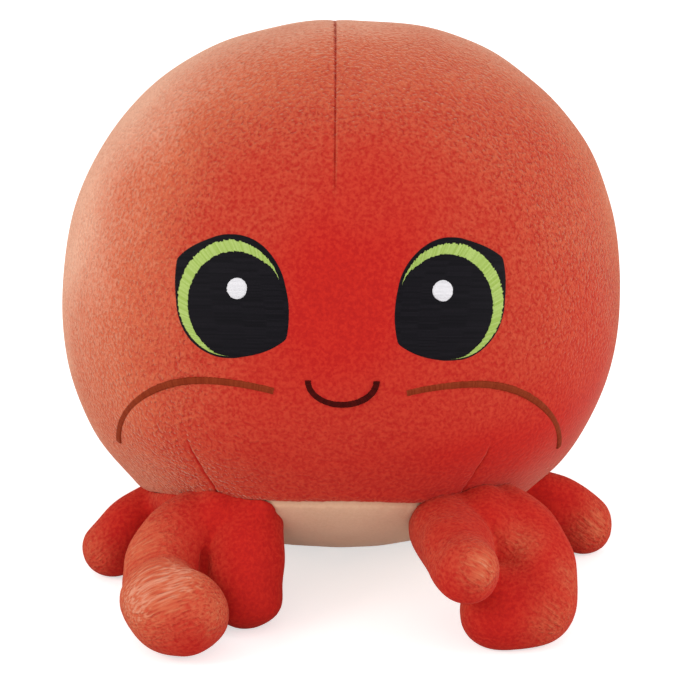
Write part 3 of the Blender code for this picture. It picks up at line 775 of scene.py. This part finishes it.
class MESH_OT_plush_belly(bpy.types.Operator):
    """The cream belly panel, flat where the toy rests"""
    bl_idname = "mesh.plush_belly"
    bl_label = "Plush Belly"
    bl_options = {"REGISTER", "UNDO"}

    def execute(self, context):
        cloth = context.scene.plush_cloth
        bearing = np.linspace(-math.pi, math.pi, 321)[:-1][None, :]
        edge = SEAM_LATITUDE - BELLY_EDGE_GAP / BALL_DROP
        near_edge = edge - np.radians(np.linspace(0, 4, 16))
        rest = np.linspace(near_edge[-1] - 0.02, math.radians(-87), 30)
        latitude = np.concatenate([near_edge, rest])[:, None]
        below_seam = edge - latitude
        directions = level_points(latitude + seam_wobble(bearing, below_seam), bearing)
        away = below_seam * BALL_DROP
        place, width, height = BELLY_PUCKER
        waves = np.sin(61 * bearing) + 0.6 * np.sin(103 * bearing + 1.0)
        lift = height * bell(away - place, width) * waves - cloth.seam_depth * bell(away, BELLY_ROLL)
        lift = lift + lumps(on_ball(directions), 8, BELLY_LUMPS, BELLY_LUMP_HEIGHT)
        outer = pressed(on_ball(directions, lift))
        inner, last = inner_wall(edge, -87, 20, bearing, BELLY_THICKNESS)
        first = pressed(on_ball([0.0, 0.0, -1.0]))
        points, faces = shell(np.concatenate([outer[::-1], inner]), first, last)
        piece = mesh_piece("belly_cloth", to_floor(points), faces, belly_material(cloth))
        fix(piece, "belly_panel")
        return {"FINISHED"}


def wheel(degrees):
    """The points of a circle of radius 1 at those angles."""
    angles = np.radians(degrees)
    return np.stack([np.cos(angles), np.sin(angles)], axis=-1)


def stitched_piece(thread, name, rings, shades, colour, stands_for):
    """A closed piece of embroidery through rings, with a shade for each of their points."""
    material = bpy.data.materials.get(colour + "_embroidery_thread") or thread_material(thread, colour)
    points, faces = shell(rings, rings[0].mean(axis=0), rings[-1].mean(axis=0))
    piece = mesh_piece(name, to_floor(points), faces, material)
    shade_attribute(piece, "stitch_shade", np.append(shades, [0.5, 0.5]))
    fix(piece, stands_for)


def satin_band(thread, name, centre, half, satin, colour, stands_for):
    """A band of satin stitches side by side. The cross-section is an arch, the root of one less the
    fourth power of the share across, and along the band each stitch is a low round ridge. Each stitch
    ends a little short or long by chance."""
    base, crest, jagged = satin
    random = np.random.default_rng(len(name) * 7 + 5)
    along = run(centre)
    count = max(4, round(along[-1] / thread.pitch))
    places = np.linspace(0, along[-1], count * 5 + 1)
    stitch = np.minimum((places / along[-1] * count).astype(int), count - 1)
    round_share = np.abs((places / along[-1] * count) % 1.0 - 0.5) * 2
    centre, half, out = (sampled(each, along, places) for each in (centre, half, ball_normal(centre)))
    out = unit(out)
    width = np.linalg.norm(half, axis=1)
    ends = random.normal(0, 1, (2, count))[:, stitch] * jagged
    across = np.linspace(-1, 1, 11)
    stretch = np.where(across[None, :] < 0, ends[0][:, None], ends[1][:, None]) * np.abs(across) ** 3
    reach = across[None, :] * (1 + stretch / np.maximum(width, 0.0004)[:, None])
    arch = (1 - np.abs(across) ** 4) ** 0.5
    ridge = 1 - SATIN_RIDGE * round_share ** 2
    taper = np.minimum(1, width / 0.0008)
    height = base + crest * arch[None, :] * ridge[:, None] * taper[:, None]
    top = centre[:, None] + half[:, None] * reach[..., None] + out[:, None] * height[..., None]
    under = [centre + half * share - out * SATIN_DEPTH for share in (0.92, -0.92)]
    rings = np.concatenate([top, np.stack(under, axis=1)], axis=1)
    shades = np.repeat(random.uniform(0, 1, count)[stitch], rings.shape[1])
    stitched_piece(thread, name, rings, shades, colour, stands_for)


def eye_outline(turn, half_size, corners):
    """The eye patch's outline: an ellipse with a low corner above outside and a higher one below inside.
    A corner swells the ellipse by its height times the 1.65th power of what is left of its reach."""
    swell = np.ones_like(turn)
    for angle, height, reach in corners:
        away = np.hypot((turn - angle + 180) % 360 - 180, 1.5)
        swell += height * np.maximum(1 - away / reach, 0) ** 1.65
    return half_size * wheel(turn) * swell[:, None]


def eye_ground(thread, name, outline, centre, mirror):
    """The black ground of an eye: rows of stitches from side to side between the outline's two sides.
    Its height is the root of one less the eighth power of the share across, with a ridge for each row."""
    low, high = outline[:, 1].argmin(), outline[:, 1].argmax()
    right = np.roll(outline, -low, axis=0)[:(high - low) % len(outline) + 1]
    left = np.roll(outline, -high, axis=0)[:(low - high) % len(outline) + 1][::-1]
    span = outline[high, 1] - outline[low, 1]
    count = round(span / thread.pitch)
    share = np.linspace(0, 1, count * 4 + 1)
    # The rows lie closer together at the top and the bottom, where the outline turns
    share = share - 0.0315 * np.sin(2 * math.pi * share)
    z = outline[low, 1] + span * np.clip(share, 0.0004, 0.9996)
    x_right = np.interp(z, right[:, 1], right[:, 0])
    x_left = np.interp(z, left[:, 1], left[:, 0])
    across = np.sin(np.linspace(-1, 1, 45) * math.pi / 2)
    x = (x_left + x_right)[:, None] / 2 + (x_right - x_left)[:, None] / 2 * across
    row = np.floor(share * count).astype(int)
    ridge = np.abs((share * count) % 1.0 - 0.5) * 2
    edge = (1 - np.abs(across) ** 8)[None, :] * (1 - np.abs(2 * share - 1) ** 10)[:, None]
    lift = GROUND_BASE + GROUND_CREST * np.maximum(edge, 0) ** 0.5 - GROUND_RIDGE * ridge[:, None] ** 2
    place = (np.stack(np.broadcast_arrays(x, z[:, None]), axis=-1) + centre) * mirror
    top = on_face(*np.moveaxis(place, -1, 0), lift)
    under = on_face(*np.moveaxis(place[:, ::-6], -1, 0), GROUND_BACK)
    rings = np.concatenate([top, under], axis=1)
    shades = np.random.default_rng(17).uniform(0, 1, (row.max() + 1, 8))
    columns = np.arange(rings.shape[1]) * 8 // rings.shape[1]
    stitched_piece(thread, name + "_eye_ground", rings, shades[row][:, columns], "black",
                   name + "_eye_patch")


class MESH_OT_plush_eyes(bpy.types.Operator):
    """Both embroidered eyes: black ground, green crescent and white dot"""
    bl_idname = "mesh.plush_eyes"
    bl_label = "Plush Eyes"
    bl_options = {"REGISTER", "UNDO"}

    def execute(self, context):
        thread = context.scene.plush_thread
        for side, name in ((1.0, "left"), (-1.0, "right")):
            shares, half_size, corners, margin, iris_end, glint_offset = EYES[name]
            centre = np.array(face_place(shares))
            mirror = np.array([side, 1.0])
            outline = eye_outline(np.linspace(-90, 270, 721)[:-1], half_size, corners)
            eye_ground(thread, name, outline, centre, mirror)

            sweep = wheel(np.linspace(IRIS_START, iris_end, 181))
            half_size = np.subtract(half_size, margin)
            half_width = np.divide(IRIS_WIDTH, 2)
            middle = centre - (0.0, IRIS_DROP)
            rim = middle + half_size * sweep
            hole = middle - half_width + (half_size - half_width) * sweep
            taper = np.clip(np.sin(np.linspace(0, math.pi, 181)) * 2.2, 0.02, 1)[:, None]
            inner = rim + (hole - rim) * taper
            outer_edge, inner_edge = (on_face(*(edge * mirror).T) for edge in (rim, inner))
            middle = (outer_edge + inner_edge) / 2
            satin_band(thread, name + "_eye_crescent", middle, (outer_edge - inner_edge) / 2, CRESCENT_SATIN,
                       "green", name + "_eye_iris")

            z = np.linspace(-1, 1, 61) * 0.9995
            spot = (centre + glint_offset) * mirror
            middle = on_face(np.full_like(z, spot[0]), spot[1] + GLINT_RADIUS * z)
            edge = on_face(spot[0] + GLINT_RADIUS * np.sqrt(1 - z ** 2), spot[1] + GLINT_RADIUS * z)
            satin_band(thread, name + "_eye_dot", middle, edge - middle, DOT_SATIN, "white",
                       name + "_eye_glint")
        return {"FINISHED"}


def stitched_line(thread, name, x, z, width, colour, stands_for):
    """A satin line along places of the face: its stitches lie square to the line and to the skin."""
    path = evenly(on_face(x, z), STITCH_LINE_STEP)
    across = unit(np.cross(unit(np.gradient(path, axis=0)), ball_normal(path)))
    satin_band(thread, name, path, across * (width / 2), LINE_SATIN, colour, stands_for)


class MESH_OT_plush_lines(bpy.types.Operator):
    """The embroidered smile and the line over each cheek"""
    bl_idname = "mesh.plush_lines"
    bl_label = "Plush Smile and Cheek Lines"
    bl_options = {"REGISTER", "UNDO"}

    def execute(self, context):
        thread = context.scene.plush_thread
        curve = np.array(face_place(SMILE_CENTRE)) + SMILE_HALF_SIZE * wheel(np.linspace(180, 360, 91))
        stitched_line(thread, "smile_stitches", *curve.T, thread.smile_width, "dark", "smile")
        # The cheek line is a parabola from its inner end to its peak and a quarter of an ellipse from there
        peak, inner_end, outer_end = (np.array(face_place(shares)) for shares in
                                      (CHEEK_LINE_PEAK, CHEEK_LINE_INNER, CHEEK_LINE_OUTER))
        share = np.linspace(1, 0, 40, endpoint=False)
        inner = peak + (inner_end - peak) * np.stack([share, share ** 2], axis=-1)
        corner = np.array([peak[0], outer_end[1]])
        reach = np.array([outer_end[0], peak[1]]) - corner
        x, z = np.concatenate([inner, corner + reach * wheel(np.linspace(90, 0, 61))]).T
        for side, name in ((1.0, "left"), (-1.0, "right")):
            stitched_line(thread, name + "_cheek_stitches", side * x, z, thread.cheek_width, "brown",
                          name + "_cheek_line")
        return {"FINISHED"}


def smooth(stations, steps):
    """A curve through the stations: each stretch is a cubic whose slope at a station is half the step
    from the one before to the one after."""
    knots = np.asarray(stations, dtype=float)
    slopes = np.gradient(knots, axis=0)
    places = np.linspace(0, len(knots) - 1, steps * (len(knots) - 1) + 1)
    i = np.minimum(places.astype(int), len(knots) - 2)
    t = (places - i)[:, None]
    return ((1 + 2 * t) * (1 - t) ** 2 * knots[i] + t * (1 - t) ** 2 * slopes[i]
            + t ** 2 * (3 - 2 * t) * knots[i + 1] + t ** 2 * (t - 1) * slopes[i + 1])


def place_stations(stations, root, side):
    """Stations that are counted out and forward from a root, as x, y, z and the rest."""
    out, forward, height, *rest = np.asarray(stations, dtype=float).T
    return np.stack([root[0] + side * out, root[1] - forward, height, *rest], axis=-1)


def slit_share(points, ends, width):
    """1 on the line between the slit's ends and less away from it, a Gaussian of its width."""
    start, along = ends[0], ends[1] - ends[0]
    share = np.clip((points - start) @ along / (along @ along), 0, 1)
    away = np.linalg.norm(points - start - share[:, None] * along, axis=1)
    return bell(away, width)


def finger(stations, offset):
    """A stuffed finger: a circle carried along the curve through its stations with frames that don't
    twist, and a half ball at each end."""
    smoothed = smooth(stations, 8)
    path, half_width = smoothed[:, :3], smoothed[:, 3]
    along = unit(np.gradient(path, axis=0))
    right = [unit(np.cross(along[0], [0.31, 0.22, 0.92]))]
    for direction in along[1:]:
        right.append(unit(right[-1] - direction * (right[-1] @ direction)))
    right = np.array(right)
    up = np.cross(along, right)
    dome = np.radians(np.arange(12, 90, 12))
    last = len(path) - 1
    places = np.concatenate([np.repeat(0, len(dome)), np.arange(last + 1), np.repeat(last, len(dome))])
    shrink = np.concatenate([np.cos(dome[::-1]), np.ones(last + 1), np.cos(dome)])
    before, after = -np.sin(dome[::-1]) * half_width[0], np.sin(dome) * half_width[-1]
    shift = np.concatenate([before, np.zeros(last + 1), after])
    turn = np.linspace(0, 2 * math.pi, 40, endpoint=False)[:, None]
    circle = np.cos(turn) * right[places][:, None] + np.sin(turn) * up[places][:, None]
    middles = (path[places] + along[places] * shift[:, None])[:, None]
    rings = middles + circle * (half_width[places] * shrink)[:, None, None]
    tips_and_painted_light = path[0] - along[0] * half_width[0], path[-1] + along[-1] * half_width[-1]
    return shell(rings, *tips_and_painted_light, offset)


def against_ball(points, lift):
    """Points of the floor's frame, with those inside the ball pushed straight out from its middle to
    its skin, raised by lift."""
    local = to_ball(points)
    local[:, 0] -= SIDE_SLUMP * local[:, 2]
    puffed = 1 + (cheek_puff(local) + lift) / np.linalg.norm(local, axis=1)
    share = ball_measure(local) / puffed
    inside = share < 1
    local[inside] /= share[inside, None]
    local[:, 0] += SIDE_SLUMP * local[:, 2]
    return to_floor(local)


def make_limb(context, name, streak_turn):
    """A claw or leg: its fingers and its sewn root are joined by a voxel remesh, smoothed, given the lumps
    of stuffing, and pressed against the ball and the floor. Along the root the thickness is a sine."""
    limb = context.scene.plush_limbs
    bearing, sewn, thin, fingers = LIMBS[name]
    side = 1.0 if name.startswith("left") else -1.0
    root = to_floor(on_ball(level_points(SEAM_LATITUDE, math.radians(bearing))))
    tubes = [place_stations(stations, root, side) for stations in fingers]
    share = np.linspace(0, 1, SEWN_STATIONS)
    thick = thin * (SEWN_END + (1 - SEWN_END) * np.sin(np.pi * share))
    below = SEAM_LATITUDE - (thick - SEWN_OVERLAP) / BALL_DROP
    edge = to_floor(on_ball(level_points(below, np.radians(sewn[0] + (sewn[1] - sewn[0]) * share))))
    tubes.append(np.column_stack([edge, thick]))
    points, faces = np.zeros((0, 3)), []
    for tube in tubes:
        more, quads = finger(tube, len(points))
        points, faces = np.concatenate([points, more]), faces + quads
    cloth = context.scene.plush_cloth
    material = pile_material("coral_minky_" + name, cloth, LIMB_PAINTED_LIGHT, streak_turn)
    piece = mesh_piece(name + "_skin", points, faces, material)
    remesh = piece.modifiers.new("join", "REMESH")
    remesh.mode = "VOXEL"
    remesh.voxel_size = limb.voxel
    ease = piece.modifiers.new("ease", "SMOOTH")
    ease.factor = 0.5
    ease.iterations = limb.softness
    bake_modifiers(piece)
    points, normals = mesh_vectors(piece), mesh_vectors(piece, "normal")
    points = points + normals * lumps(points, len(name), LIMB_LUMPS, limb.lump_height)[:, None]
    if name in SLITS:
        top, bottom, width, depth, shade = SLITS[name]
        ends = place_stations((top, bottom), root, side)
        points = points - normals * (depth * slit_share(points, ends, width))[:, None]
    points = against_ball(points, -LIMB_SINK)
    points[:, 2] = np.maximum(points[:, 2], FLOOR_GAP)
    set_points(piece, points)
    finer = piece.modifiers.new("finer", "SUBSURF")
    finer.levels = finer.render_levels = 1
    bake_modifiers(piece)
    points = mesh_vectors(piece)
    # Brushed spots: nap lines, and paleness that is partly the nap brushed up and partly painted highlight
    brushed_and_painted_highlight = np.zeros(len(points))
    for x, y, z, reach, amount in place_stations(BRUSHED_AND_PAINTED_HIGHLIGHT[name], root, side):
        away = np.linalg.norm(points - (x, y, z), axis=1)
        brushed_and_painted_highlight = np.maximum(brushed_and_painted_highlight, amount * bell(away, reach))
    shade_attribute(piece, "brushed_up", brushed_and_painted_highlight)
    # Painted shade down the slit between the fingers
    if name in SLITS:
        shade_attribute(piece, "seam", shade * slit_share(points, ends, width))
    fix(piece, name)


class MESH_OT_plush_limbs(bpy.types.Operator):
    """Both two-fingered claws and both short legs"""
    bl_idname = "mesh.plush_limbs"
    bl_label = "Plush Claws and Legs"
    bl_options = {"REGISTER", "UNDO"}

    def execute(self, context):
        for name, turn in NAP_TURN.items():
            make_limb(context, name, math.radians(turn))
        return {"FINISHED"}


def area_lamp(name, place, aim, size, colour, power):
    """A square soft lamp that faces a height over the middle of the floor."""
    lamp = bpy.data.lights.new(name, "AREA")
    lamp.shape = "SQUARE"
    lamp.size = size
    lamp.energy = power
    lamp.color = colour
    toward = Vector(place) - Vector((0.0, 0.0, aim))
    turn = toward.to_track_quat("Z", "Y").to_matrix().to_4x4()
    link_object(name, lamp).matrix_world = Matrix.Translation(place) @ turn


def seen_rays(tree):
    """1 for rays that show the stage itself: from the camera, or off gloss or through glass."""
    path = node(tree, "LightPath").outputs
    first = node(tree, "Math", [path["Is Camera Ray"], path["Is Glossy Ray"]], operation="MAXIMUM")
    return node(tree, "Math", [first, path["Is Transmission Ray"]], operation="MAXIMUM")


class SCENE_OT_plush_stage(bpy.types.Operator):
    """The white floor, the soft lamps and the camera"""
    bl_idname = "scene.plush_stage"
    bl_label = "Plush Stage"
    bl_options = {"REGISTER", "UNDO"}

    def execute(self, context):
        scene = context.scene
        studio = scene.plush_studio
        material, tree, shader = new_material("white_paper_sweep")
        feed(shader, {"Base Color": linear("#e8e6e4"), "Roughness": 1.0, "Specular IOR Level": 0.0})
        strength = node(tree, "Math", [seen_rays(tree), SWEEP_GLOW], operation="MULTIPLY")
        glow = node(tree, "Emission", {"Color": WHITE, "Strength": strength})
        both = node(tree, "AddShader", [shader, glow])
        feed(tree.nodes["Material Output"], {"Surface": both})
        turn = np.linspace(0, 2 * math.pi, SWEEP_COLUMNS, endpoint=False)
        ring = np.stack([np.cos(turn), np.sin(turn), 0 * turn], axis=-1)
        points = np.concatenate([ring * radius for radius in SWEEP_RADII] + [[[0.0, 0.0, 0.0]]])
        faces = ring_faces(len(SWEEP_RADII), SWEEP_COLUMNS)
        faces += fan_faces(0, SWEEP_COLUMNS, len(points) - 1)
        mesh = bpy.data.meshes.new("paper_sweep")
        mesh.from_pydata(points, [], faces)
        mesh.materials.append(material)
        link_object("paper_sweep", mesh)

        world = bpy.data.worlds.new("soft_studio")
        world.use_nodes = True
        scene.world = world
        tree = world.node_tree
        light = tree.nodes["Background"]
        feed(light, {"Color": WHITE, "Strength": studio.ambient})
        white = node(tree, "Background", {"Color": WHITE, "Strength": 1.0})
        mix = node(tree, "MixShader", [seen_rays(tree), light, white])
        feed(tree.nodes["World Output"], {"Surface": mix})
        for name, settings in LAMPS.items():
            area_lamp(name + "_lamp", *settings, getattr(studio, name + "_power"))

        camera = bpy.data.cameras.new("camera")
        camera.sensor_width = 36.0
        camera.lens = studio.camera_focal
        camera.clip_end = 20.0
        holder = link_object("camera", camera)
        away = studio.camera_distance
        holder.location = (CAMERA_SIDE, -away * math.cos(CAMERA_ABOVE),
                           sitting_height() + away * math.sin(CAMERA_ABOVE))
        holder.rotation_euler = (math.pi / 2 - CAMERA_TILT, 0.0, 0.0)
        scene.camera = holder
        scene.view_settings.view_transform = "Standard"
        return {"FINISHED"}


class VIEW3D_PT_stuffed_crab(bpy.types.Panel):
    """The crab's pieces and what can be changed on them"""
    bl_label = "Stuffed Crab"
    bl_idname = "VIEW3D_PT_stuffed_crab"
    bl_space_type = "VIEW_3D"
    bl_region_type = "UI"
    bl_category = "Stuffed Crab"

    def draw(self, context):
        layout = self.layout
        scene = context.scene
        for title, group in (("Cloth", scene.plush_cloth), ("Embroidery", scene.plush_thread),
                             ("Limbs", scene.plush_limbs), ("Studio", scene.plush_studio)):
            box = layout.box()
            box.label(text=title)
            for key in group.__annotations__:
                box.prop(group, key)
        for each in OPERATORS:
            layout.operator(each.bl_idname)


OPERATORS = (SCENE_OT_plush_stage, MESH_OT_plush_ball, MESH_OT_plush_belly, MESH_OT_plush_limbs,
             MESH_OT_plush_eyes, MESH_OT_plush_lines)
SETTINGS = {"plush_cloth": PlushClothSettings, "plush_thread": EmbroiderySettings,
            "plush_limbs": StuffedLimbSettings, "plush_studio": StudioSettings}
CLASSES = (*SETTINGS.values(), *OPERATORS, VIEW3D_PT_stuffed_crab)


def register():
    for each in CLASSES:
        bpy.utils.register_class(each)
    for name, group in SETTINGS.items():
        setattr(bpy.types.Scene, name, bpy.props.PointerProperty(type=group))


def unregister():
    for name in SETTINGS:
        delattr(bpy.types.Scene, name)
    for each in reversed(CLASSES):
        bpy.utils.unregister_class(each)


def main():
    register()
    bpy.ops.scene.plush_stage()
    bpy.ops.mesh.plush_ball()
    bpy.ops.mesh.plush_belly()
    bpy.ops.mesh.plush_limbs()
    bpy.ops.mesh.plush_eyes()
    bpy.ops.mesh.plush_lines()


if __name__ == "__main__":
    main()
